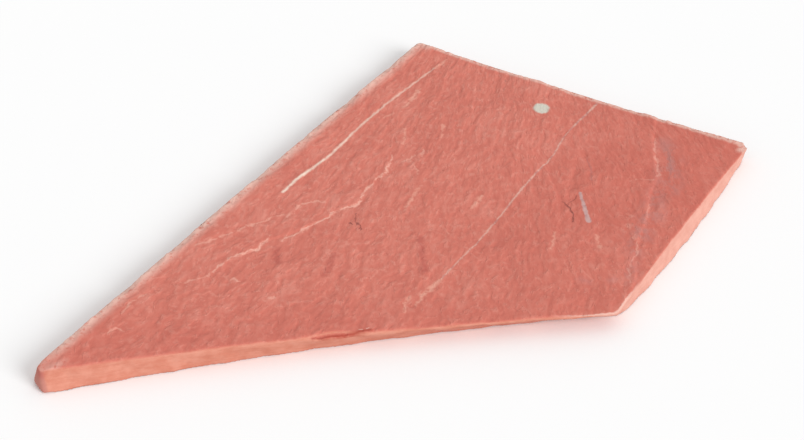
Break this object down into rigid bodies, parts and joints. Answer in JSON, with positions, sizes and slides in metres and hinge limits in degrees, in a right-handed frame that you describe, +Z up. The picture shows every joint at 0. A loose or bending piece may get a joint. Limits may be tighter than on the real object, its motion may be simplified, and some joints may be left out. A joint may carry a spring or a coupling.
{
  "type": "slate flagstone",
  "caption": "Irregular kite-shaped slab of red riven slate with broken edges, laid flat as paving or as a stepping stone.",
  "frame": {"origin": "middle of the slab's bounding box, on the plane of its bed", "axes": "+X along the slab's length from the narrow tip to the right corner, +Y across its width to the back corner, +Z up out of the riven face"},
  "size_m": [0.7038, 0.5618, 0.0242],
  "materials": {
    "slate": "riven, matt"
  },
  "bodies": {
    "root": {"slate_slab": "slate"}
  },
  "joints": []
}
